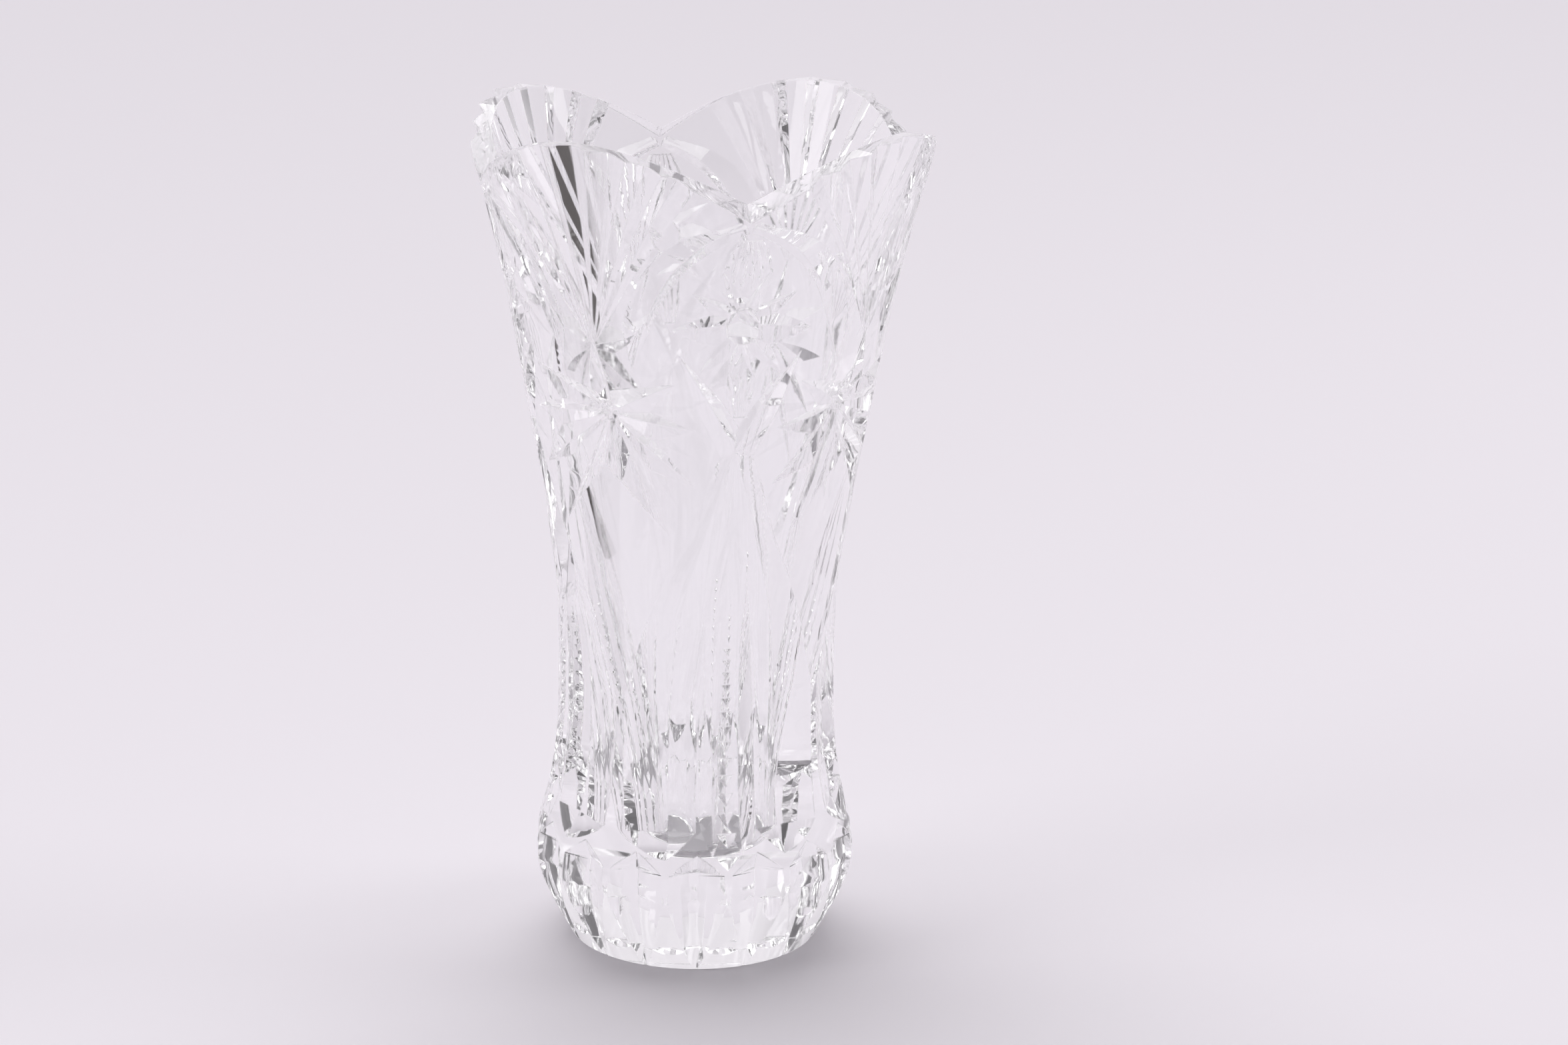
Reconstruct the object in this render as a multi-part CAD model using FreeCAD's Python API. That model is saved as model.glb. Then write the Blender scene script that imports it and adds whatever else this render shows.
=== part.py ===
import FreeCAD, Part
import math
import os

# Cut crystal vase: one thick-walled block of clear glass, pressed or blown to a flared
# form and then cut on the wheel. Units are millimetres, +Z is up, the origin is the centre
# of the foot, and one notch of the rim faces -Y. The cutting repeats four times round.

# ---- driving dimensions --------------------------------------------------------------
HEIGHT = 300.0
FOOT_RADIUS = 44.8
BULGE_RADIUS = 57.8
BULGE_HEIGHT = 32.0
WAIST_RADIUS = 49.3
WAIST_HEIGHT = 92.0
RIM_RADIUS = 83.8
RIM_WALL = 8.0
NOTCH_RADIUS = 77.2
BASE_THICKNESS = 31.0
CAVITY_RUN_OUT = 5.0

REPEATS = 4
QUARTER = 360.0 / REPEATS
LOBE = QUARTER / 2.0
FOOT_FLUTES = 16
FLUTE_PITCH = 360.0 / FOOT_FLUTES
RIM_DIP = 24.0

# The outer and inner outlines, as (radius, height).
OUTER_OUTLINE = [
    (FOOT_RADIUS, 0.0),
    (BULGE_RADIUS - 4.6, BULGE_HEIGHT / 2.0),
    (BULGE_RADIUS, BULGE_HEIGHT),
    (WAIST_RADIUS + 4.8, BULGE_HEIGHT + 18.0),
    (WAIST_RADIUS, WAIST_HEIGHT),
    (WAIST_RADIUS + 2.4, WAIST_HEIGHT + 50.0),
    (WAIST_RADIUS + 11.7, HEIGHT - 100.0),
    (RIM_RADIUS - 12.0, HEIGHT - 45.0),
    (RIM_RADIUS, HEIGHT),
]
CAVITY_FLOOR_RADIUS = 12.0
INNER_OUTLINE = [
    (CAVITY_FLOOR_RADIUS, BASE_THICKNESS),
    (CAVITY_FLOOR_RADIUS + 4.6, BASE_THICKNESS + 2.9),
    (CAVITY_FLOOR_RADIUS + 6.5, BASE_THICKNESS + 9.0),
    (21.5, 70.0),
    (27.0, 100.0),
    (38.0, 160.0),
    (47.0, 200.0),
    (RIM_RADIUS - RIM_WALL - 14.0, HEIGHT - 45.0),
    (RIM_RADIUS - RIM_WALL, HEIGHT),
]

# Cutting wheels: half of the angle of each V, in degrees.
FAN_WHEEL = 60.0
STAR_WHEEL = 60.0
SHORT_RAY_WHEEL = 42.0
ARC_WHEEL = 60.0
CROSSING_WHEEL = 60.0
FLANK_WHEEL = 78.0
FLUTE_WHEEL = 75.0
FOOT_WHEEL = 70.0
FINE_WHEEL = 50.0
REACH = 6.0
STAR_REACH = 9.0
WIDEST_FLANK = 20.0
CLEARANCE = 1.0
ENTRY = 0.25
OVERLAP = 0.015


# ---- the two outlines as curves --------------------------------------------------------
def outline_curve(points):
    """A smooth curve through (radius, height) points, in the XZ plane."""
    curve = Part.BSplineCurve()
    curve.interpolate([FreeCAD.Vector(radius, 0, height) for radius, height in points])
    return curve


OUTER_CURVE = outline_curve(OUTER_OUTLINE)
INNER_CURVE = outline_curve(INNER_OUTLINE)


def outer_parameter(height):
    """Parameter of the outer curve at a height, found by halving."""
    low = OUTER_CURVE.FirstParameter
    high = OUTER_CURVE.LastParameter
    for _ in range(40):
        middle = (low + high) / 2.0
        if OUTER_CURVE.value(middle).z < height:
            low = middle
        else:
            high = middle
    return (low + high) / 2.0


def polar(radius, angle, height):
    """A point at an angle from -Y, turning towards +X."""
    turn = math.radians(angle)
    return FreeCAD.Vector(radius * math.sin(turn), -radius * math.cos(turn), height)


def surface(angle, height):
    """Point on the uncut outside, and the outward normal there."""
    parameter = outer_parameter(min(max(height, 0.0), HEIGHT))
    point = OUTER_CURVE.value(parameter)
    slope = OUTER_CURVE.tangent(parameter)[0]
    if slope.z < 0:
        slope = slope * -1.0
    run_out = height - point.z
    radius = point.x + run_out * slope.x / slope.z
    normal = polar(slope.z, angle, -slope.x)
    return polar(radius, angle, height), normal.normalize()


# ---- the blank -------------------------------------------------------------------------
def turned(curve, extra_top):
    """A solid of revolution under a curve, run straight up by extra_top at its top."""
    first = curve.value(curve.FirstParameter)
    last = curve.value(curve.LastParameter)
    rise = FreeCAD.Vector(last.x, 0, last.z + extra_top)
    axis_top = FreeCAD.Vector(0, 0, rise.z)
    axis_bottom = FreeCAD.Vector(0, 0, first.z)
    edges = [curve.toShape()]
    if extra_top > 0:
        edges.append(Part.LineSegment(last, rise).toShape())
    edges.append(Part.LineSegment(rise, axis_top).toShape())
    edges.append(Part.LineSegment(axis_top, axis_bottom).toShape())
    edges.append(Part.LineSegment(axis_bottom, first).toShape())
    face = Part.Face(Part.Wire(edges))
    return face.revolve(FreeCAD.Vector(0, 0, 0), FreeCAD.Vector(0, 0, 1), 360)


def rim_shape():
    """Two crossing barrels over a tall block: what stays of the rim, with four lobes."""
    half_span = NOTCH_RADIUS * math.sin(math.radians(LOBE))
    barrel_radius = (half_span ** 2 + RIM_DIP ** 2) / (2.0 * RIM_DIP)
    length = 4.0 * RIM_RADIUS
    keep = Part.makeCylinder(2.0 * RIM_RADIUS, HEIGHT - 2.0 * RIM_DIP)
    for angle in (LOBE, LOBE + QUARTER):
        start = polar(-length / 2.0, angle, HEIGHT - barrel_radius)
        along = polar(1.0, angle, 0.0)
        keep = keep.fuse(Part.makeCylinder(barrel_radius, length, start, along))
    return keep


def blank():
    """The uncut vase: turned outside, scalloped rim and turned cavity."""
    outside = turned(OUTER_CURVE, 0.0).common(rim_shape())
    return outside.cut(turned(INNER_CURVE, CAVITY_RUN_OUT))


# ---- wheel cuts ------------------------------------------------------------------------
def straight_cut(start, end, wheel, reach=REACH):
    """A straight V groove. Start and end are (angle, height, depth) along its valley."""
    ends = []
    for angle, height, depth in (start, end):
        point, normal = surface(angle, height)
        ends.append((point - normal * depth, normal))
    along = ends[1][0] - ends[0][0]
    outward = ends[0][1] + ends[1][1]
    side = along.cross(outward).normalize()
    outward = side.cross(along).normalize()
    slope = 1.0 / math.tan(math.radians(wheel))
    flank = min(reach / slope, WIDEST_FLANK)
    edge = flank * slope
    top = reach + CLEARANCE
    valley = ends[0][0]
    section = [valley]
    for across, out in ((flank, edge), (flank, top), (-flank, top), (-flank, edge)):
        section.append(valley + side * across + outward * out)
    section.append(valley)
    return Part.Face(Part.makePolygon(section)).extrude(along)


def bezier(controls, t):
    """Point on a Bezier curve of any order, in (angle, height)."""
    points = list(controls)
    while len(points) > 1:
        points = [
            ((1 - t) * a[0] + t * b[0], (1 - t) * a[1] + t * b[1])
            for a, b in zip(points, points[1:])
        ]
    return points[0]


def passes(stations, wheel):
    """A long groove ground as short straight passes through (angle, height, depth) stations."""
    cuts = []
    for first, last in zip(stations, stations[1:]):
        start = [a - OVERLAP * (b - a) for a, b in zip(first, last)]
        end = [b + OVERLAP * (b - a) for a, b in zip(first, last)]
        cuts.append(straight_cut(start, end, wheel))
    return cuts


def curved_cut(controls, depths, wheel, pieces):
    """A curved V groove along a Bezier path. Depths are those at the start, middle and end."""
    start, middle, end = depths
    stations = []
    for index in range(pieces + 1):
        t = index / pieces
        angle, height = bezier(controls, t)
        depth = start * (1 - t) * (1 - 2 * t) + middle * 4 * t * (1 - t) + end * t * (2 * t - 1)
        stations.append((angle, height, depth))
    return passes(stations, wheel)


def with_mirror(cuts):
    """Cuts, and their mirror images about the panel's middle plane."""
    origin = FreeCAD.Vector(0, 0, 0)
    sideways = FreeCAD.Vector(1, 0, 0)
    return cuts + [cut.mirror(origin, sideways) for cut in cuts]


# ---- the cut pattern of one quarter, centred on a notch ----------------------------------
FAN_FOOT = 229.5
FAN_STEP = 11.0
STAR_HEIGHT = 203.2
STAR_DEPTH = 7.0
STAR_OVERRUN = 0.05
NOTCH_HEIGHT = 274.0
PANEL_HEIGHT = 238.7

# Rays of the star, as (angle from the star's own axis, height of the tip).
STAR_TIPS = [(23.2, 161.0), (32.7, 180.5), (32.8, 201.7), (26.1, 218.8)]
SHORT_RAY = (3.6, 180.8)
# The long cuts that cross under each panel, as (angle, height, depth) from the top down.
CROSSING = [(-19.5, 231.0, -0.25), (-9.5, 211.0, 2.8), (0.0, 192.0, 3.2), (8.5, 165.0, 2.8)]
WAIST_CUT = [(8.5, 165.0, 2.8), (17.6, 137.0, 2.9), (22.6, 113.0, 3.4), (23.4, 92.0, 3.6),
             (23.0, 70.0, 3.6), (22.6, 54.0, 3.4), (22.5, 44.0, -0.25)]
INNER_FLUTE = [(0.6, 166.0, 0.0), (4.2, 145.0, 1.2), (5.5, 120.0, 1.5), (5.6, 85.0, 1.5),
               (5.6, 58.0, 1.5), (5.6, 44.0, -0.25)]
FOOT_CUT = [(47.0, -0.25), (41.0, 4.2), (28.6, 4.9), (12.5, 2.3), (-1.5, 0.2)]
LEDGE_HEIGHT = 8.5
LEDGE = [(-6.5, 0.0), (-2.2, 0.9), (2.2, 0.9), (6.5, 0.0)]
# The notches down each ridge, as fractions of their pitch: half width, length, depth, offset.
BEAD_TOP = 121.0
BEAD_BOTTOM = 42.0
BEAD_PITCH = 4.2
BEAD_GROWTH = 1.05
BEAD_HALF_WIDTH = 0.55
BEAD_LENGTH = 0.85
BEAD_DEPTH = 0.33
BEAD_OFFSET = 0.1
BEAD_LIFT = 1.5


def fan_cuts():
    """Seven grooves that spread from one point up to the lobe's edge."""
    cuts = []
    for index in range(-3, 4):
        start = (LOBE + index * 0.4, FAN_FOOT + abs(index) * 0.6, -ENTRY)
        end = (LOBE + index * FAN_STEP, HEIGHT + 6.0, 4.4)
        cuts.append(straight_cut(start, end, FAN_WHEEL))
    return cuts


def star_cuts():
    """Broad deep rays that meet in the middle of the star below each fan."""
    rays = [(0.0, FAN_FOOT + 5.0, SHORT_RAY_WHEEL)]
    for sign in (1, -1):
        rays.append((sign * SHORT_RAY[0], SHORT_RAY[1], SHORT_RAY_WHEEL))
        rays += [(sign * offset, height, STAR_WHEEL) for offset, height in STAR_TIPS]
    cuts = []
    for offset, height, wheel in rays:
        start_angle = LOBE - offset * STAR_OVERRUN
        start_height = STAR_HEIGHT - (height - STAR_HEIGHT) * STAR_OVERRUN
        start = (start_angle, start_height, STAR_DEPTH)
        cuts.append(straight_cut(start, (LOBE + offset, height, -ENTRY), wheel, STAR_REACH))
    return cuts


def arc_cuts():
    """The broad arcs that frame the panel under each notch."""
    arc = [(0.7, NOTCH_HEIGHT), (17.0, 268.0), (27.5, 250.0), (33.0, 221.0)]
    return with_mirror(curved_cut(arc, (1.0, 2.3, -ENTRY), ARC_WHEEL, 5))


def panel_cuts():
    """Rays round a raised button, and the fine fan that hangs from the notch."""
    cuts = []
    for offset, height in ((21.6, 237.7), (17.0, 250.0), (8.0, 260.5), (13.0, 221.0)):
        inner = (offset * 0.24, PANEL_HEIGHT + (height - PANEL_HEIGHT) * 0.30, 1.8)
        cuts.append(straight_cut(inner, (offset, height, -ENTRY), FINE_WHEEL))
    for offset, height in ((1.5, 251.0), (4.5, 252.5), (7.3, 256.5)):
        upper = (0.4 * offset, NOTCH_HEIGHT - 5.0, 0.7)
        cuts.append(straight_cut(upper, (offset, height, -ENTRY), FINE_WHEEL))
    return with_mirror(cuts)


def waist_cuts():
    """The long cuts that cross under each panel and run down the waist, and flutes inside."""
    cuts = passes(CROSSING, CROSSING_WHEEL)
    cuts += passes(WAIST_CUT, FLANK_WHEEL)
    cuts += passes(INNER_FLUTE, FLUTE_WHEEL)
    return with_mirror(cuts)


def bead_cuts():
    """Small notches down the ridge below each notch of the rim, larger towards the foot."""
    cuts = []
    height = BEAD_TOP
    pitch = BEAD_PITCH
    side = FreeCAD.Vector(1, 0, 0)
    while height > BEAD_BOTTOM:
        point, normal = surface(0.0, height)
        down = side.cross(normal).normalize()
        if down.z > 0:
            down = down * -1.0
        half_width = side * pitch * BEAD_HALF_WIDTH
        tip = point + down * pitch * BEAD_LENGTH
        corners = [point + half_width, point - half_width, tip]
        lifted = [corner + normal * BEAD_LIFT for corner in corners]
        deep = point - normal * pitch * BEAD_DEPTH + down * pitch * BEAD_OFFSET
        faces = []
        for a, b in ((0, 1), (1, 2), (2, 0)):
            outline = [lifted[a], lifted[b], deep, lifted[a]]
            faces.append(Part.Face(Part.makePolygon(outline)))
        faces.append(Part.Face(Part.makePolygon(lifted + [lifted[0]])))
        cuts.append(Part.Solid(Part.Shell(faces)))
        height -= pitch
        pitch *= BEAD_GROWTH
    return cuts


def foot_cuts():
    """Upright cuts that meet over the bulge, with triangles left between, and a ledge below."""
    cuts = []
    for index in range(FOOT_FLUTES // REPEATS):
        middle = index * FLUTE_PITCH
        groove = middle + FLUTE_PITCH / 2.0
        cuts += passes([(groove, height, depth) for height, depth in FOOT_CUT], FOOT_WHEEL)
        ledge = [(middle + angle, LEDGE_HEIGHT, depth) for angle, depth in LEDGE]
        cuts += passes(ledge, ARC_WHEEL)
    return cuts


def quarter_cuts():
    """All wheel cuts of one quarter, by group."""
    upper = [fan_cuts(), star_cuts(), arc_cuts(), panel_cuts()]
    lower = [waist_cuts(), bead_cuts(), foot_cuts()]
    return upper + lower


def all_round(cuts):
    """Copies of the cuts at each quarter."""
    copies = []
    for index in range(REPEATS):
        for cut in cuts:
            copy = cut.copy()
            copy.rotate(FreeCAD.Vector(0, 0, 0), FreeCAD.Vector(0, 0, 1), index * QUARTER)
            copies.append(copy)
    return copies


def vase_body():
    """The finished vase: the blank with every group of cuts taken out in turn."""
    body = blank()
    for group in quarter_cuts():
        body = body.cut(all_round(group))
    if body.ShapeType == "Compound":
        body = body.Solids[0]
    return body


os.makedirs("parts", exist_ok=True)
vase = vase_body()
print("valid", vase.isValid(), "solids", len(vase.Solids), "faces", len(vase.Faces))
print("volume", round(vase.Volume / 1000.0, 1), "cm3")
vase.exportStep("parts/vase_body.step")
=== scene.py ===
import math

import bmesh
import bpy
import numpy as np
from mathutils import Matrix, Vector


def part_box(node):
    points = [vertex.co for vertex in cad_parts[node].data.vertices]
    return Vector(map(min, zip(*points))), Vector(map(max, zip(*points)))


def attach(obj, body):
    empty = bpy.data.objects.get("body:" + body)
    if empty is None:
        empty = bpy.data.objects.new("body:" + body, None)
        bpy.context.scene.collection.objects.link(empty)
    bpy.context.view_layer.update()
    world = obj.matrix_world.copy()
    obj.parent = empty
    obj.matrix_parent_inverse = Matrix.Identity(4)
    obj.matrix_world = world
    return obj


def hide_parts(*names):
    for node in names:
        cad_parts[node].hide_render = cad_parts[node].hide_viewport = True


# The looks of the cut crystal vase. The vase stands on the origin with one notch of its rim
# towards -Y. Lengths below are in design millimetres; MM turns them into metres, so that the
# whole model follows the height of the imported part.

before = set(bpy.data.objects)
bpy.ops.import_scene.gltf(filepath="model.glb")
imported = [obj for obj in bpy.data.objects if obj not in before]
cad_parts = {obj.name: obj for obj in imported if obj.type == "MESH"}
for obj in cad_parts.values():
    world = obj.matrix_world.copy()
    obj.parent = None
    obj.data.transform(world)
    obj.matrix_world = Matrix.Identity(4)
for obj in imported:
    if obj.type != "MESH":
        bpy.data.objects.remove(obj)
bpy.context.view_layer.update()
NODE = "vase_body"
_, node_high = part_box(NODE)
HEIGHT = 300.0
MM = node_high.z / HEIGHT

# ---- driving dimensions ----------------------------------------------------------------
FOOT_RADIUS = 44.8
BULGE_RADIUS = 57.8
BULGE_HEIGHT = 32.0
WAIST_RADIUS = 49.3
WAIST_HEIGHT = 92.0
RIM_RADIUS = 83.8
RIM_WALL = 8.0
RIM_DIP = 24.0
NOTCH_RADIUS = 77.2
BASE_THICKNESS = 31.0

REPEATS = 4
QUARTER = 360.0 / REPEATS
LOBE = QUARTER / 2.0
FOOT_FLUTES = 16
FLUTE_PITCH = 360.0 / FOOT_FLUTES

# The outside, as (radius, height).
OUTER_OUTLINE = [
    (FOOT_RADIUS, 0.0),
    (BULGE_RADIUS - 4.6, BULGE_HEIGHT / 2.0),
    (BULGE_RADIUS, BULGE_HEIGHT),
    (WAIST_RADIUS + 4.8, BULGE_HEIGHT + 18.0),
    (WAIST_RADIUS, WAIST_HEIGHT),
    (WAIST_RADIUS + 2.4, WAIST_HEIGHT + 50.0),
    (WAIST_RADIUS + 11.7, HEIGHT - 100.0),
    (RIM_RADIUS - 12.0, HEIGHT - 45.0),
    (RIM_RADIUS, HEIGHT),
]
CAVITY_FLOOR_RADIUS = 12.0
# The inside, as (radius, height), from the top of the rounded corner of its floor upwards.
INNER_OUTLINE = [
    (18.0, BASE_THICKNESS + 8.0),
    (21.5, 70.0),
    (27.0, 100.0),
    (38.0, 160.0),
    (47.0, 200.0),
    (RIM_RADIUS - RIM_WALL - 14.0, HEIGHT - 45.0),
    (RIM_RADIUS - RIM_WALL, HEIGHT),
]

# The wedge that is cut: its grid, and how quickly the rim's scallops fade downwards.
ANGLE_STEP = 1.0
WEDGE_MARGIN = 4.0
OUTER_RINGS = 110
INNER_RINGS = 60
CORNER_RINGS = 12
RIM_BLEND = 6
RIM_PASSES = 12
SLOPE_STEP = 0.5

# Every V wheel: how far it stands out of its valley, its widest flank, and the room above it.
REACH = 5.0
WIDEST_FLANK = 20.0
CLEARANCE = 2.0
# How far outside the glass a cut starts and ends.
ENTRY = 0.25


# ---- outlines ---------------------------------------------------------------------------
def natural_spline(points):
    """A function of height, through (radius, height) points, with no bend at its two ends."""
    radius = np.array([p[0] for p in points], float)
    height = np.array([p[1] for p in points], float)
    count = len(points)
    gap = np.diff(height)
    slope = np.diff(radius) / gap
    matrix = np.eye(count)
    right = np.zeros(count)
    for i in range(1, count - 1):
        matrix[i, i - 1:i + 2] = [gap[i - 1], 2 * (gap[i - 1] + gap[i]), gap[i]]
        right[i] = 6 * (slope[i] - slope[i - 1])
    bend = np.linalg.solve(matrix, right)

    def value(z):
        z = np.asarray(z, float)
        i = np.clip(np.searchsorted(height, z) - 1, 0, count - 2)
        a = (height[i + 1] - z) / gap[i]
        b = (z - height[i]) / gap[i]
        cubic = ((a ** 3 - a) * bend[i] + (b ** 3 - b) * bend[i + 1]) * gap[i] ** 2 / 6
        return a * radius[i] + b * radius[i + 1] + cubic

    return value


outer_radius = natural_spline(OUTER_OUTLINE)
inner_radius = natural_spline(INNER_OUTLINE)


def polar(radius, angle, height):
    """Point at an angle in degrees from -Y, turning towards +X."""
    turn = np.radians(angle)
    return np.stack([radius * np.sin(turn), -radius * np.cos(turn), height + 0 * turn], -1)


def slope_of(curve, height):
    """How fast an outline's radius grows with height."""
    return (curve(height + SLOPE_STEP) - curve(height - SLOPE_STEP)) / (2 * SLOPE_STEP)


def surface(angle, height):
    """Points on the uncut outside, and the outward normals there."""
    angle = np.asarray(angle, float)
    height = np.asarray(height, float)
    radius = outer_radius(height)
    slope = slope_of(outer_radius, height)
    normal = polar(np.ones_like(slope), angle, -slope)
    normal /= np.linalg.norm(normal, axis=-1, keepdims=True)
    return polar(radius, angle, height), normal


def rim_height(angle, radius_of_height):
    """Height of the scalloped rim: two barrels that cross over the axis, one lobe for each end."""
    half_span = NOTCH_RADIUS * math.sin(math.radians(LOBE))
    barrel = (half_span ** 2 + RIM_DIP ** 2) / (2 * RIM_DIP)
    off_lobe = np.radians((np.asarray(angle) % QUARTER) - LOBE)
    height = np.full(off_lobe.shape, HEIGHT)
    for _ in range(RIM_PASSES):
        across = radius_of_height(height) * np.sin(off_lobe)
        height = HEIGHT - barrel + np.sqrt(barrel ** 2 - across ** 2)
    return height


# ---- meshes ------------------------------------------------------------------------------
def mesh_object(name, vertices, faces):
    """A new object from points in design millimetres."""
    mesh = bpy.data.meshes.new(name)
    mesh.from_pydata((np.asarray(vertices) * MM).tolist(), [], faces)
    mesh.update()
    made = bpy.data.objects.new(name, mesh)
    bpy.context.scene.collection.objects.link(made)
    return made


def blank_wedge():
    """One half of a quarter of the uncut vase, and a margin each side, as a closed mesh."""
    first = -WEDGE_MARGIN
    last = LOBE + WEDGE_MARGIN
    angles = np.linspace(first, last, round((last - first) / ANGLE_STEP) + 1)
    rings = []
    rim = rim_height(angles, outer_radius)
    for t in np.linspace(0, 1, OUTER_RINGS):
        height = t * (HEIGHT + (rim - HEIGHT) * t ** RIM_BLEND)
        rings.append(polar(outer_radius(height), angles, height))
    rim = rim_height(angles, inner_radius)
    low = INNER_OUTLINE[0][1]
    for t in np.linspace(1, 0, INNER_RINGS):
        height = low + t * (HEIGHT + (rim - HEIGHT) * t ** RIM_BLEND - low)
        rings.append(polar(inner_radius(height), angles, height))
    for bow in np.linspace(0, math.pi / 2, CORNER_RINGS)[1:]:
        radius = CAVITY_FLOOR_RADIUS + (INNER_OUTLINE[0][0] - CAVITY_FLOOR_RADIUS) * math.cos(bow)
        height = low - (low - BASE_THICKNESS) * math.sin(bow)
        rings.append(polar(np.full(len(angles), radius), angles, height))
    count = len(angles)
    vertices = np.concatenate(rings + [[[0, 0, BASE_THICKNESS], [0, 0, 0]]])
    faces = []
    for ring in range(len(rings) - 1):
        start = ring * count
        for i in range(count - 1):
            faces.append((start + i, start + i + 1, start + count + i + 1, start + count + i))
    floor_centre = len(rings) * count
    foot_centre = floor_centre + 1
    last_ring = floor_centre - count
    for i in range(count - 1):
        faces.append((last_ring + i, last_ring + i + 1, floor_centre))
        faces.append((i + 1, i, foot_centre))
    outline = [ring * count for ring in range(len(rings))]
    faces.append(outline + [floor_centre, foot_centre])
    far_outline = [start + count - 1 for start in reversed(outline)]
    faces.append([foot_centre, floor_centre] + far_outline)
    return mesh_object("blank", vertices, faces)


def bezier(controls, t):
    """Points on a Bezier curve of any order, in (angle, height), at an array of t."""
    points = [np.outer(1 + 0 * t, p) for p in controls]
    weight = t[:, None]
    while len(points) > 1:
        points = [(1 - weight) * a + weight * b for a, b in zip(points, points[1:])]
    return points[0]


def wheel_section(inner_wheel, outer_wheel, reach):
    """Outline of a V wheel as (across, outward) from its valley, with its own slope each side."""
    inner_slope = 1 / math.tan(math.radians(inner_wheel))
    outer_slope = 1 / math.tan(math.radians(outer_wheel))
    inner = min(reach / inner_slope, WIDEST_FLANK)
    outer = min(reach / outer_slope, WIDEST_FLANK)
    top = reach + CLEARANCE
    inner_flank = [(inner, inner * inner_slope), (inner, top)]
    outer_flank = [(-outer, top), (-outer, outer * outer_slope)]
    return [(0.0, 0.0)] + inner_flank + outer_flank


def sweep(angles, heights, depths, inner_wheels, outer_wheels, reach):
    """Vertices and faces of one closed cutter that follows a path on the outside.

    The inner wheel angle is for the side on the right of the path, seen from outside."""
    point, normal = surface(angles, heights)
    count = len(point)
    depths = np.broadcast_to(depths, count)
    valley = point - normal * depths[:, None]
    along = np.gradient(valley, axis=0)
    side = np.cross(along, normal)
    side /= np.linalg.norm(side, axis=-1, keepdims=True)
    outward = np.cross(side, along)
    outward /= np.linalg.norm(outward, axis=-1, keepdims=True)
    inner_wheels = np.broadcast_to(inner_wheels, count)
    outer_wheels = np.broadcast_to(outer_wheels, count)
    vertices = []
    for i in range(count):
        section = wheel_section(inner_wheels[i], outer_wheels[i], reach)
        vertices += [valley[i] + side[i] * a + outward[i] * o for a, o in section]
    size = len(section)
    faces = []
    for i in range(count - 1):
        for k in range(size):
            m = (k + 1) % size
            faces.append((i * size + k, i * size + m, (i + 1) * size + m, (i + 1) * size + k))
    faces.append(list(reversed(range(size))))
    faces.append([(count - 1) * size + k for k in range(size)])
    return np.array(vertices), faces


def cut_along(controls, depths, wheel, steps, reach=REACH):
    """A cutter along a Bezier path. Depths are at the start, the middle and the end."""
    t = np.linspace(0, 1, steps + 1)
    path = bezier(controls, t)
    start, middle, end = depths
    depth = start * (1 - t) * (1 - 2 * t) + middle * 4 * t * (1 - t) + end * t * (2 * t - 1)
    return sweep(path[:, 0], path[:, 1], depth, wheel, wheel, reach)


def mirrored(part, angle):
    """A cutter mirrored in the upright plane through the axis at an angle."""
    vertices, faces = part
    turn = math.radians(2 * angle)
    x, y, z = vertices.T
    flipped = np.stack([-x * math.cos(turn) - y * math.sin(turn),
                        -x * math.sin(turn) + y * math.cos(turn), z], -1)
    return flipped, [tuple(reversed(face)) for face in faces]


def turned_by(part, degrees):
    """A cutter turned about the axis."""
    vertices, faces = part
    turn = math.radians(degrees)
    x, y, z = vertices.T
    turned = np.stack([x * math.cos(turn) - y * math.sin(turn),
                       x * math.sin(turn) + y * math.cos(turn), z], -1)
    return turned, faces


def reaches_wedge(part):
    """True if a cutter touches the wedge that is worked on."""
    x, y = part[0].T[:2]
    angles = np.degrees(np.arctan2(x, -y))
    return angles.max() > -WEDGE_MARGIN and angles.min() < LOBE + WEDGE_MARGIN


def images(part):
    """A cutter and its mirror images in the wedge's two sides, where they touch the wedge.

    A cutter that lies on a side is its own mirror image there, and isn't made twice."""
    copies = [part]
    for angle in (0.0, LOBE):
        copy = mirrored(part, angle)
        own_mirror = np.allclose(copy[0].mean(0), part[0].mean(0), atol=1e-6)
        if not own_mirror:
            copies.append(copy)
    return [copy for copy in copies if reaches_wedge(copy)]


# ---- the cut pattern ---------------------------------------------------------------------
FINE_WHEEL = 55.0
SHORT_STEPS = 8

FAN_FOOT = 229.5
FAN_SPREAD = 0.2
FAN_STEP = 11.0
FAN_OVERRUN = 4.0
FAN_DEPTHS = (-0.05, 2.15, 4.35)
FAN_WHEEL = 62.0
FAN_STEPS = 16

STAR_HEIGHT = 203.2
STAR_DEPTH = 7.0
STAR_REACH = 9.0
STAR_OVERRUN = 0.08
# Rays of the star, as (angle from the star's own axis, height of the tip, half wheel angle).
STAR_RAYS = [
    (3.6, 180.8, 42.0),
    (23.2, 161.0, 62.0),
    (32.7, 180.5, 60.0),
    (32.8, 201.7, 60.0),
    (26.1, 218.8, 60.0),
    (0.0, FAN_FOOT + 5.0, 48.0),
]

# The long S-shaped cuts that cross under each panel: (angle, height) of the valley, upwards.
LANCET = [
    (22.5, 44.0),
    (23.5, 100.0),
    (17.6, 137.0),
    (8.5, 165.0),
    (0.0, 192.0),
    (-9.5, 211.0),
    (-19.5, 231.0),
]
LANCET_STATIONS = 75
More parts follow.
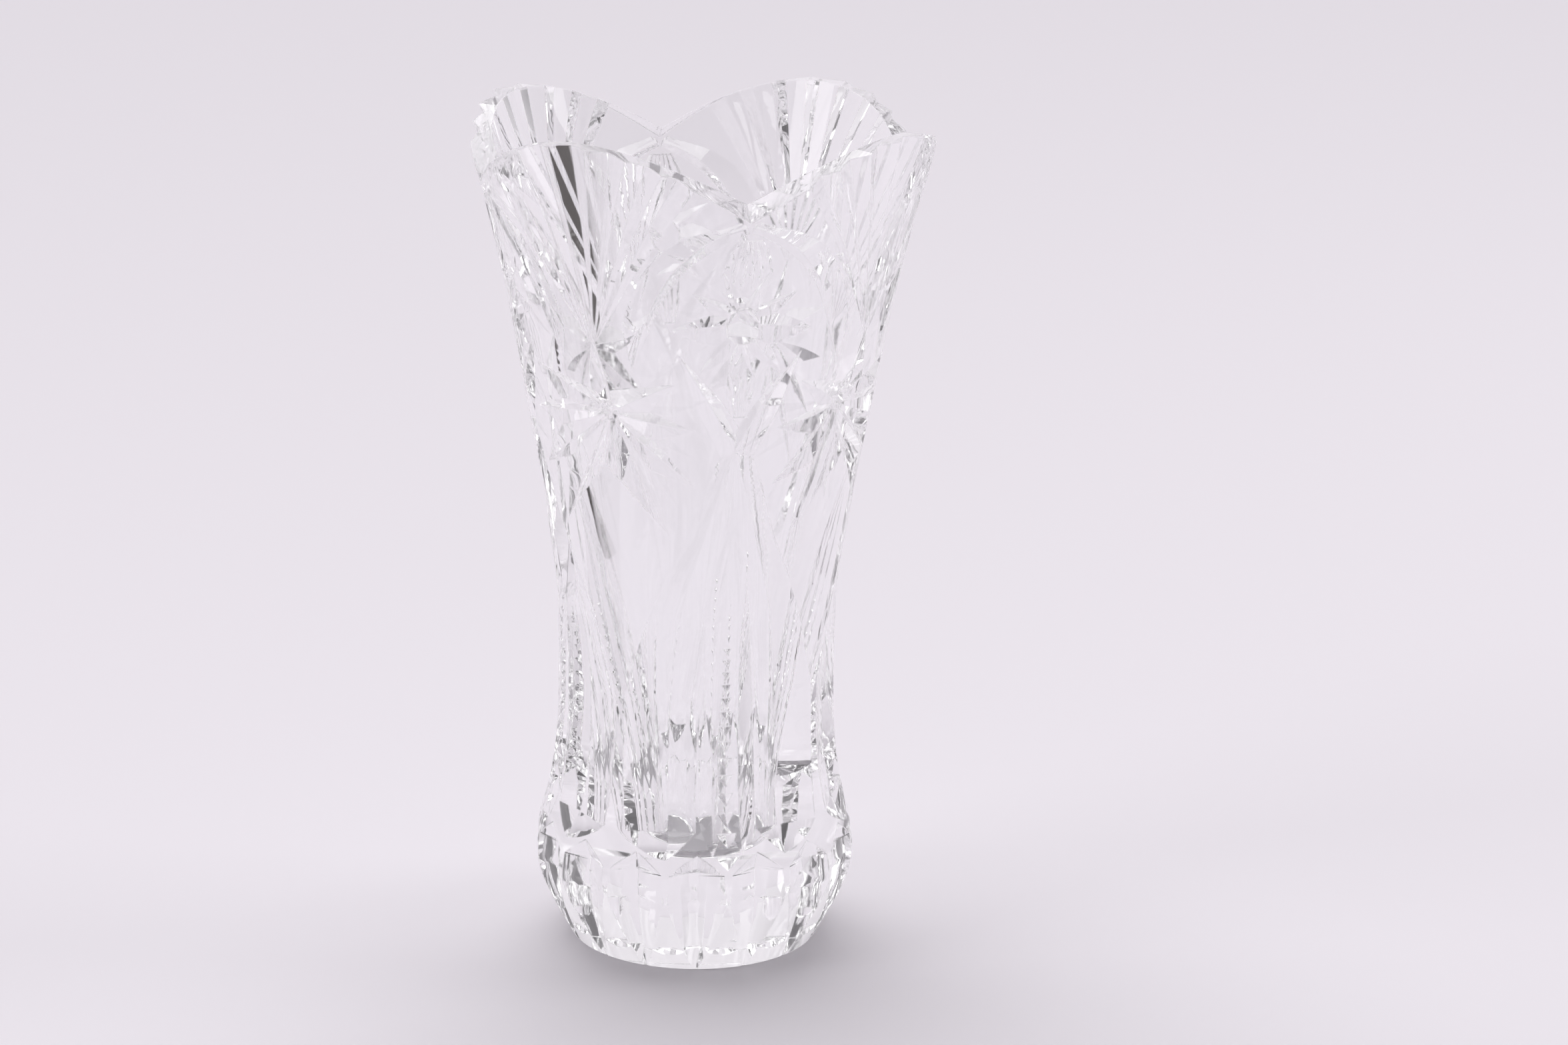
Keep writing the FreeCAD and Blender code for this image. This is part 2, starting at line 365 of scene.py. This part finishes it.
# Its heights, with the depth and the half wheel angles towards the panel's axis and away from it.
LANCET_FORM = [
    (44.0, -0.25, 77.0, 87.0),
    (54.0, 3.4, 77.0, 87.0),
    (100.0, 3.6, 77.0, 87.0),
    (130.0, 3.0, 80.0, 80.0),
    (160.0, 2.7, 68.0, 68.0),
    (191.0, 3.2, 60.0, 60.0),
    (210.0, 2.8, 60.0, 60.0),
    (231.0, -0.25, 58.0, 58.0),
]
# The pointed flutes inside each pair of long cuts.
INNER_FLUTE = [(5.6, 44.0), (5.6, 85.0), (5.5, 120.0), (4.2, 145.0), (0.3, 167.0)]
INNER_FLUTE_FORM = [(44.0, -0.25), (58.0, 1.5), (130.0, 1.5), (167.0, -0.1)]
INNER_FLUTE_WHEEL = 75.0
INNER_FLUTE_REACH = 4.0
INNER_FLUTE_STATIONS = 45

NOTCH_HEIGHT = 274.0
# The arc over each panel: its path, then depth and outer wheel angle by share of its length.
ARC = [(0.6, NOTCH_HEIGHT), (17.0, 268.0), (27.5, 250.0), (33.0, 221.0)]
ARC_DEPTHS = [(0.0, 1.2), (0.25, 2.1), (0.8, 2.1), (1.0, -ENTRY)]
ARC_OUTER_WHEELS = [(0.0, 60.0), (0.4, 76.0), (1.0, 76.0)]
ARC_PANEL_WHEEL = 50.0
ARC_STATIONS = 31
ABOVE_ARC = [(2.0, NOTCH_HEIGHT + 1.5), (24.0, 261.0)]
ABOVE_ARC_DEPTHS = (0.8, 1.1, -ENTRY)
ABOVE_ARC_STEPS = 14

PANEL_HEIGHT = 238.7
# Rays round the button of each panel, as (angle and height of the tip, depth, half wheel angle).
PANEL_RAYS = [
    (21.6, 237.7, 3.4, 63.0),
    (15.5, 252.0, 2.4, 56.0),
    (7.0, 260.5, 2.2, 52.0),
    (13.0, 222.0, 2.6, 57.0),
    (4.5, 219.0, 1.8, 50.0),
]
# Where a ray starts, as a share of its tip's angle and of its tip's height from the button.
RAY_START = (0.22, 0.30)
# How deep a ray still is halfway along.
RAY_MIDDLE = 0.6
# The small fans under the notch and under the button, as (angle, height) of their tips.
NOTCH_FAN = ((1.6, 251.0), (4.4, 252.0), (7.3, 256.5))
NOTCH_FAN_FOOT = NOTCH_HEIGHT - 4.0
BUTTON_FAN = ((1.2, 226.0), (4.2, 225.0))
BUTTON_FAN_FOOT = 206.5
NOTCH_FAN_DEPTHS = (0.6, 1.1, -ENTRY)
BUTTON_FAN_DEPTHS = (0.5, 1.0, -ENTRY)
SMALL_FAN_START = 0.35

BEAD_TOP = 121.0
BEAD_BOTTOM = 42.0
BEAD_PITCH = 4.2
BEAD_GROWTH = 1.05
BEAD_LIFT = 1.2
# The size of a notch as a share of its pitch, and its length and offset as shares of the pitch.
BEAD_SIZE = 0.52
BEAD_LENGTH = 0.9
BEAD_OFFSET = 0.12
# Its half width above the glass and its depth in the glass, as shares of its size.
BEAD_HALF_WIDTH = 1.6
BEAD_DEPTH = 0.8

# The upright cuts over the foot, as (height, depth) from the top down.
FOOT_FORM = [(47.0, -0.25), (41.0, 4.2), (28.6, 4.9), (12.5, 2.3), (0.0, 0.3), (-2.0, 0.2)]
FOOT_WHEEL = 70.0
FOOT_REACH = 7.0
FOOT_STATIONS = 40
FOOT_TURNS = range(-1, 3)
LEDGE_HEIGHT = 8.5
LEDGE = [(-6.5, LEDGE_HEIGHT), (6.5, LEDGE_HEIGHT)]
LEDGE_DEPTHS = (0.0, 1.1, 0.0)
LEDGE_WHEEL = 64.0


def fan_cuts():
    """Half of the seven grooves that spread from one point up to a lobe's edge."""
    cuts = []
    for index in range(-3, 1):
        path = [(LOBE + index * FAN_SPREAD, FAN_FOOT + abs(index) * FAN_SPREAD),
                (LOBE + index * FAN_STEP, HEIGHT + FAN_OVERRUN)]
        cuts.append(cut_along(path, FAN_DEPTHS, FAN_WHEEL, FAN_STEPS))
    return cuts


def star_cuts():
    """Broad deep rays that meet in the middle of the star below each fan."""
    cuts = []
    depths = (STAR_DEPTH, STAR_DEPTH / 2, -ENTRY)
    for offset, height, wheel in STAR_RAYS:
        start_height = STAR_HEIGHT - (height - STAR_HEIGHT) * STAR_OVERRUN
        path = [(LOBE + offset * STAR_OVERRUN, start_height), (LOBE - offset, height)]
        cuts.append(cut_along(path, depths, wheel, SHORT_STEPS, STAR_REACH))
    return cuts


def long_cut():
    """The long cut that crosses under a panel and runs down the waist to the foot."""
    form = np.array(LANCET_FORM).T
    heights = np.linspace(LANCET[-1][1], LANCET[0][1], LANCET_STATIONS)
    depth, inner, outer = (np.interp(heights, form[0], row) for row in form[1:])
    return sweep(natural_spline(LANCET)(heights), heights, depth, inner, outer, REACH)


def inner_flute():
    """The pointed flute that stands inside a pair of long cuts."""
    form = np.array(INNER_FLUTE_FORM).T
    heights = np.linspace(INNER_FLUTE[-1][1], INNER_FLUTE[0][1], INNER_FLUTE_STATIONS)
    depth = np.interp(heights, form[0], form[1])
    angles = natural_spline(INNER_FLUTE)(heights)
    wheel = INNER_FLUTE_WHEEL
    return sweep(angles, heights, depth, wheel, wheel, INNER_FLUTE_REACH)


def arc_cuts():
    """The broad arc that frames the panel under each notch, and the straight cut above it."""
    share = np.linspace(0, 1, ARC_STATIONS)
    path = bezier(ARC, share)
    depth = np.interp(share, *np.array(ARC_DEPTHS).T)
    outer = np.interp(share, *np.array(ARC_OUTER_WHEELS).T)
    arc = sweep(path[:, 0], path[:, 1], depth, ARC_PANEL_WHEEL, outer, REACH)
    above = cut_along(ABOVE_ARC, ABOVE_ARC_DEPTHS, FINE_WHEEL, ABOVE_ARC_STEPS)
    return [arc, above]


def small_fan(tips, foot, depths):
    """Half of a small fan of fine cuts that starts at the foot height and ends at the tips."""
    cuts = []
    for offset, height in tips:
        near = (SMALL_FAN_START * offset, foot)
        cuts.append(cut_along([near, (offset, height)], depths, FINE_WHEEL, SHORT_STEPS))
    return cuts


def panel_cuts():
    """Rays round a raised button, and the fine fans above and below it."""
    cuts = []
    angle_share, height_share = RAY_START
    for offset, height, depth, wheel in PANEL_RAYS:
        near = (offset * angle_share, PANEL_HEIGHT + (height - PANEL_HEIGHT) * height_share)
        depths = (depth, depth * RAY_MIDDLE, -ENTRY)
        cuts.append(cut_along([near, (offset, height)], depths, wheel, SHORT_STEPS))
    cuts += small_fan(NOTCH_FAN, NOTCH_FAN_FOOT, NOTCH_FAN_DEPTHS)
    cuts += small_fan(BUTTON_FAN, BUTTON_FAN_FOOT, BUTTON_FAN_DEPTHS)
    return cuts


def bead_cuts():
    """Small notches down the ridge under each notch of the rim, larger towards the foot."""
    parts = []
    height = BEAD_TOP
    pitch = BEAD_PITCH
    side = np.array([1.0, 0.0, 0.0])
    while height > BEAD_BOTTOM:
        size = pitch * BEAD_SIZE
        point, normal = surface(0.0, height)
        down = np.cross(side, normal)
        top = point + normal * BEAD_LIFT
        right = top + side * size * BEAD_HALF_WIDTH
        left = top - side * size * BEAD_HALF_WIDTH
        tip = top + down * pitch * BEAD_LENGTH
        deep = point - normal * size * BEAD_DEPTH + down * pitch * BEAD_OFFSET
        faces = [(0, 1, 2), (1, 0, 3), (2, 1, 3), (0, 2, 3)]
        parts.append((np.array([right, left, tip, deep]), faces))
        height -= pitch
        pitch *= BEAD_GROWTH
    return parts


def foot_cuts():
    """The upright cuts over the bulge, with triangles left between them, and the ledge below.

    Only those near the wedge are made, at their places round the foot."""
    form = np.array(FOOT_FORM).T
    heights = np.linspace(FOOT_FORM[0][0], FOOT_FORM[-1][0], FOOT_STATIONS)
    depth = np.interp(heights, form[0][::-1], form[1][::-1])
    angles = np.full(FOOT_STATIONS, FLUTE_PITCH / 2)
    upright = sweep(angles, heights, depth, FOOT_WHEEL, FOOT_WHEEL, FOOT_REACH)
    ledge = cut_along(LEDGE, LEDGE_DEPTHS, LEDGE_WHEEL, SHORT_STEPS)
    pair = (upright, ledge)
    return [turned_by(part, turn * FLUTE_PITCH) for part in pair for turn in FOOT_TURNS]


def all_cuts():
    """Every cutter that touches the wedge."""
    own = fan_cuts() + star_cuts() + arc_cuts() + [long_cut(), inner_flute()]
    own += panel_cuts() + bead_cuts()
    parts = [image for part in own for image in images(part)]
    return parts + [part for part in foot_cuts() if reaches_wedge(part)]


def outward_facing(part):
    """A closed cutter with its faces turned outwards, whichever way its path ran."""
    vertices, faces = part
    volume = 0.0
    for face in faces:
        for a, b in zip(face[1:], face[2:]):
            volume += np.dot(vertices[face[0]], np.cross(vertices[a], vertices[b]))
    if volume < 0:
        faces = [tuple(reversed(face)) for face in faces]
    return vertices, faces


def cut_wedge():
    """The wedge with every cutter taken out of it, one after the other."""
    wedge = blank_wedge()
    cutters = []
    for part in all_cuts():
        cutter = mesh_object("cutter", *outward_facing(part))
        modifier = wedge.modifiers.new("cut", "BOOLEAN")
        modifier.operation = "DIFFERENCE"
        modifier.solver = "MANIFOLD"
        modifier.object = cutter
        cutters.append(cutter)
    bpy.context.view_layer.update()
    graph = bpy.context.evaluated_depsgraph_get()
    mesh = bpy.data.meshes.new_from_object(wedge.evaluated_get(graph))
    for helper in cutters + [wedge]:
        bpy.data.objects.remove(helper)
    return mesh


# Points within SEAM metres of a side of the wedge are put exactly on it.
SEAM = 2e-7
BISECT_REACH = 1e-7
SAME_POINT_DIGITS = 9


def trimmed_wedge(mesh):
    """Points and triangles of the wedge, cut off at its two sides 45 degrees apart."""
    work = bmesh.new()
    work.from_mesh(mesh)
    bmesh.ops.triangulate(work, faces=work.faces[:])
    seam_normal = Vector((math.sqrt(0.5), math.sqrt(0.5), 0.0))
    for normal in (Vector((-1.0, 0.0, 0.0)), seam_normal):
        everything = work.verts[:] + work.edges[:] + work.faces[:]
        bmesh.ops.bisect_plane(work, geom=everything, dist=BISECT_REACH, plane_co=(0, 0, 0),
                               plane_no=normal, clear_outer=True)
    bmesh.ops.triangulate(work, faces=work.faces[:])
    for vertex in work.verts:
        if abs(vertex.co.x) < SEAM:
            vertex.co.x = 0.0
        if abs(vertex.co.dot(seam_normal)) < SEAM:
            middle = (vertex.co.x - vertex.co.y) / 2
            vertex.co.x = middle
            vertex.co.y = -middle
    work.verts.ensure_lookup_table()
    points = np.array([v.co for v in work.verts])
    corners = np.array([[v.index for v in f.verts] for f in work.faces])
    work.free()
    return points, corners


def without_seam_faces(triangles):
    """The triangles that are left when those in a seam, or with no area, are dropped."""
    ordered = np.sort(triangles, axis=1)
    _, group, copies = np.unique(ordered, axis=0, return_inverse=True, return_counts=True)
    on_seam = copies[group.reshape(-1)] > 1
    collapsed = (ordered[:, 0] == ordered[:, 1]) | (ordered[:, 1] == ordered[:, 2])
    return triangles[~on_seam & ~collapsed]


def whole_from_wedge(mesh):
    """The whole vase: the trimmed wedge mirrored, and repeated all round."""
    points, corners = trimmed_wedge(mesh)
    both = np.concatenate([points, points * [-1, 1, 1]])
    sides = np.concatenate([corners, corners[:, ::-1] + len(points)])
    all_points = []
    all_sides = []
    for index in range(REPEATS):
        all_points.append(both)
        all_sides.append(sides + index * len(both))
        both = np.stack([-both[:, 1], both[:, 0], both[:, 2]], -1)
    all_points = np.concatenate(all_points)
    rounded = np.round(all_points, SAME_POINT_DIGITS)
    _, first, merged = np.unique(rounded, axis=0, return_index=True, return_inverse=True)
    all_sides = without_seam_faces(merged.reshape(-1)[np.concatenate(all_sides)])
    made_mesh = bpy.data.meshes.new("crystal_vase")
    made_mesh.from_pydata(all_points[first].tolist(), [], all_sides.tolist())
    made_mesh.update()
    made = bpy.data.objects.new("crystal_vase", made_mesh)
    bpy.context.scene.collection.objects.link(made)
    return made


# ---- shading ------------------------------------------------------------------------------
CRISP_ANGLE = 14.0
# A face counts as uncut if its corners are this near the outline and its normal agrees.
ON_SURFACE = 0.03
AGREEMENT = 0.99
FOOT_EDGE = 0.01
HEIGHT_SLACK = 0.02


def read_array(collection, name, kind, width):
    """One property of every item of a mesh collection, as an array of rows."""
    values = np.zeros(len(collection) * width, kind)
    collection.foreach_get(name, values)
    return values.reshape(-1, width)


def turned_normals(points, radius, curve, sign):
    """Exact normals of a turned surface at points: outwards for sign 1, inwards for -1."""
    away = points[:, :2] / np.maximum(radius, 1)[:, None]
    exact = np.column_stack([away, -slope_of(curve, points[:, 2])]) * sign
    return exact / np.linalg.norm(exact, axis=-1, keepdims=True)


def smooth_turned_faces(vase):
    """Exact normals where the glass is turned, and crisp edges where it is cut."""
    mesh = vase.data
    mesh.shade_smooth()
    mesh.set_sharp_from_angle(angle=math.radians(CRISP_ANGLE))
    points = read_array(mesh.vertices, "co", np.float32, 3).astype(float) / MM
    radius = np.hypot(points[:, 0], points[:, 1])
    height = points[:, 2]
    corner_vertex = read_array(mesh.loops, "vertex_index", np.int32, 1)[:, 0]
    face_normal = read_array(mesh.polygons, "normal", np.float32, 3)
    normals = np.array([c.vector for c in mesh.corner_normals])
    inner_low = INNER_OUTLINE[0][1]
    for curve, sign, low in ((outer_radius, 1.0, FOOT_EDGE), (inner_radius, -1.0, inner_low)):
        exact = turned_normals(points, radius, curve, sign)[corner_vertex]
        near = (np.abs(radius - curve(height)) < ON_SURFACE) & (height > low - HEIGHT_SLACK)
        uncut = near[corner_vertex].reshape(-1, 3).all(1)
        match = (exact.reshape(-1, 3, 3).mean(1) * face_normal).sum(1)
        corners = np.repeat(uncut & (match > AGREEMENT), 3)
        normals[corners] = exact[corners]
    mesh.normals_split_custom_set(normals.tolist())


# ---- materials ----------------------------------------------------------------------------
CRYSTAL_COLOUR = (0.997, 0.998, 1.0, 1.0)
CRYSTAL_INDEX = 1.54
WAVE_SCALE = 45.0
WAVE_DETAIL = 2.0
WAVE_STRENGTH = 0.12
WAVE_DEPTH = 0.0004
EDGE_SAMPLES = 4
EDGE_RADIUS = 0.0007
POLISH_SCALE = 320.0
ROUGHEST = 0.03

PAPER_COLOUR = (0.915, 0.88, 0.925, 1.0)
PAPER_ROUGHNESS = 0.8
PAPER_SHINE = 0.1
CARD_COLOUR = (0.030, 0.022, 0.016, 1.0)
CARD_ROUGHNESS = 0.6
CARD_SHINE = 0.5


def noise(nodes, links, place, scale):
    """A noise texture laid through the object's own space."""
    made = nodes.new("ShaderNodeTexNoise")
    made.inputs["Scale"].default_value = scale
    links.new(place.outputs["Object"], made.inputs["Vector"])
    return made


def crystal_material():
    """Clear polished crystal: faintly wavy, with edges that are softened as if by polishing."""
    material = bpy.data.materials.new("clear_crystal")
    material.use_nodes = True
    nodes = material.node_tree.nodes
    links = material.node_tree.links
    shader = nodes["Principled BSDF"]
    shader.inputs["Base Color"].default_value = CRYSTAL_COLOUR
    shader.inputs["Transmission Weight"].default_value = 1.0
    shader.inputs["IOR"].default_value = CRYSTAL_INDEX
    place = nodes.new("ShaderNodeTexCoord")
    wave = noise(nodes, links, place, WAVE_SCALE)
    wave.inputs["Detail"].default_value = WAVE_DETAIL
    bump = nodes.new("ShaderNodeBump")
    bump.inputs["Strength"].default_value = WAVE_STRENGTH
    bump.inputs["Distance"].default_value = WAVE_DEPTH
    links.new(wave.outputs["Fac"], bump.inputs["Height"])
    edge = nodes.new("ShaderNodeBevel")
    edge.samples = EDGE_SAMPLES
    edge.inputs["Radius"].default_value = EDGE_RADIUS
    links.new(edge.outputs["Normal"], bump.inputs["Normal"])
    links.new(bump.outputs["Normal"], shader.inputs["Normal"])
    polish = noise(nodes, links, place, POLISH_SCALE)
    rough = nodes.new("ShaderNodeMapRange")
    rough.inputs["To Min"].default_value = 0.0
    rough.inputs["To Max"].default_value = ROUGHEST
    links.new(polish.outputs["Fac"], rough.inputs["Value"])
    links.new(rough.outputs["Result"], shader.inputs["Roughness"])
    return material


def matte_material(name, colour, roughness, shine):
    """A plain opaque material."""
    material = bpy.data.materials.new(name)
    material.use_nodes = True
    shader = material.node_tree.nodes["Principled BSDF"]
    shader.inputs["Base Color"].default_value = colour
    shader.inputs["Roughness"].default_value = roughness
    shader.inputs["Specular IOR Level"].default_value = shine
    return material


# ---- the studio ----------------------------------------------------------------------------
FLOOR_REACH = 12.0
AIR_GAP = 0.0003
# The dark card's left, right, near and far edges and its height, in metres. They are measured
# from the vase, with "far" straight away from the camera.
CARD_EDGES = (-0.62, -0.27, -0.27, 0.02, 0.001)
CEILING_STRENGTH = 1.5
CEILING_SPREAD = 60.0
CEILING_TILT = -25.0
LIGHT_SIZE = 0.9
LIGHT_POWER = 6.0
LEFT_LIGHT = (-2.0, -0.4, 1.3)
RIGHT_LIGHT = (2.0, -0.2, 1.3)
# The brightest direction of the surroundings, and their grey from the opposite side up to it.
SWEEP_DIRECTION = (0.0, 0.75, -0.66)
SURROUNDINGS = [(0.0, 0.10), (0.3, 0.28), (0.5, 0.72), (0.62, 0.86)]
# How much of the grey's red value its green and blue have.
SURROUNDINGS_TINT = (0.96, 1.01)


def stage_sheet(name, left, right, near, far, height, material):
    """A flat level sheet of the studio, in metres, that isn't part of the vase."""
    corners = [(left, near), (right, near), (right, far), (left, far)]
    mesh = bpy.data.meshes.new(name)
    mesh.from_pydata([(x, y, height) for x, y in corners], [], [(0, 1, 2, 3)])
    made = bpy.data.objects.new(name, mesh)
    bpy.context.scene.collection.objects.link(made)
    made.data.materials.append(material)
    return made


def floor():
    """A wide pale floor, with the thin film of air that lies under any glass foot."""
    paper = matte_material("sweep_paper", PAPER_COLOUR, PAPER_ROUGHNESS, PAPER_SHINE)
    reach = FLOOR_REACH
    stage_sheet("floor", -reach, reach, -reach, reach, -AIR_GAP, paper)


def dark_card():
    """A dark card to the left, out of the picture, that shows only in the glass, as streaks."""
    card = matte_material("dark_card", CARD_COLOUR, CARD_ROUGHNESS, CARD_SHINE)
    made = stage_sheet("dark_card", *CARD_EDGES, card)
    made.rotation_euler = (0.0, 0.0, math.radians(CAMERA_AZIMUTH))
    made.visible_camera = False
    made.visible_diffuse = False
    made.visible_shadow = False


def soft_light(name, place):
    """A square soft light that faces the middle of the vase."""
    data = bpy.data.lights.new(name, "AREA")
    data.shape = "SQUARE"
    data.size = LIGHT_SIZE
    data.energy = LIGHT_POWER
    made = bpy.data.objects.new(name, data)
    made.location = place
    aim = Vector((0, 0, HEIGHT * MM / 2)) - Vector(place)
    made.rotation_euler = aim.to_track_quat("-Z", "Y").to_euler()
    made.visible_camera = False
    bpy.context.scene.collection.objects.link(made)


def soft_ceiling():
    """Even light from a wide pale ceiling, a little behind the vase."""
    data = bpy.data.lights.new("ceiling", "SUN")
    data.energy = CEILING_STRENGTH
    data.angle = math.radians(CEILING_SPREAD)
    made = bpy.data.objects.new("ceiling", data)
    made.rotation_euler = (math.radians(CEILING_TILT), 0.0, 0.0)
    bpy.context.scene.collection.objects.link(made)


def studio_world():
    """A pale sweep behind and below, and a dimmer room in front and overhead."""
    world = bpy.data.worlds.new("studio")
    bpy.context.scene.world = world
    world.use_nodes = True
    nodes = world.node_tree.nodes
    links = world.node_tree.links
    place = nodes.new("ShaderNodeTexCoord")
    along = nodes.new("ShaderNodeVectorMath")
    along.operation = "DOT_PRODUCT"
    along.inputs[1].default_value = SWEEP_DIRECTION
    links.new(place.outputs["Generated"], along.inputs[0])
    shift = nodes.new("ShaderNodeMapRange")
    shift.inputs["From Min"].default_value = -1.0
    links.new(along.outputs["Value"], shift.inputs["Value"])
    ramp = nodes.new("ShaderNodeValToRGB")
    stops = ramp.color_ramp.elements
    while len(stops) < len(SURROUNDINGS):
        stops.new(0.5)
    green, blue = SURROUNDINGS_TINT
    for stop, (share, grey) in zip(stops, SURROUNDINGS):
        stop.position = share
        stop.color = (grey, grey * green, grey * blue, 1)
    links.new(shift.outputs["Result"], ramp.inputs["Fac"])
    links.new(ramp.outputs["Color"], nodes["Background"].inputs["Color"])


# ---- the camera -----------------------------------------------------------------------------
CAMERA_AZIMUTH = -12.274
CAMERA_DISTANCE = 1358.8
CAMERA_HEIGHT = 544.7
CAMERA_PITCH = -16.098
CAMERA_YAW = 1.285
CAMERA_ROLL = 1.028
CAMERA_LENS = 91.43
SENSOR_WIDTH = 36.0
# Light is turned back inside cut glass many times before it leaves.
BOUNCES = 48


def camera():
    """A long lens a little above the rim, looking down at the vase from its front left."""
    data = bpy.data.cameras.new("camera")
    data.lens = CAMERA_LENS
    data.sensor_width = SENSOR_WIDTH
    made = bpy.data.objects.new("camera", data)
    bpy.context.scene.collection.objects.link(made)
    turn = Matrix.Rotation(math.radians(CAMERA_AZIMUTH), 4, "Z")
    place = Matrix.Translation(Vector((0, -CAMERA_DISTANCE * MM, CAMERA_HEIGHT * MM)))
    yaw = Matrix.Rotation(math.radians(-CAMERA_YAW), 4, "Z")
    tilt = Matrix.Rotation(math.radians(90 + CAMERA_PITCH), 4, "X")
    roll = Matrix.Rotation(math.radians(CAMERA_ROLL), 4, "Z")
    made.matrix_world = turn @ place @ yaw @ tilt @ roll
    bpy.context.scene.camera = made


# ---- everything together -----------------------------------------------------------------------
vase = whole_from_wedge(cut_wedge())
vase.data.materials.append(crystal_material())
smooth_turned_faces(vase)
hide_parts(NODE)
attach(vase, "root")
print("triangles", sum(len(p.vertices) - 2 for p in vase.data.polygons))

floor()
dark_card()
soft_ceiling()
soft_light("left", LEFT_LIGHT)
soft_light("right", RIGHT_LIGHT)
studio_world()
camera()

scene = bpy.context.scene
scene.view_settings.view_transform = "Standard"
scene.cycles.max_bounces = BOUNCES
scene.cycles.transmission_bounces = BOUNCES
scene.cycles.glossy_bounces = BOUNCES
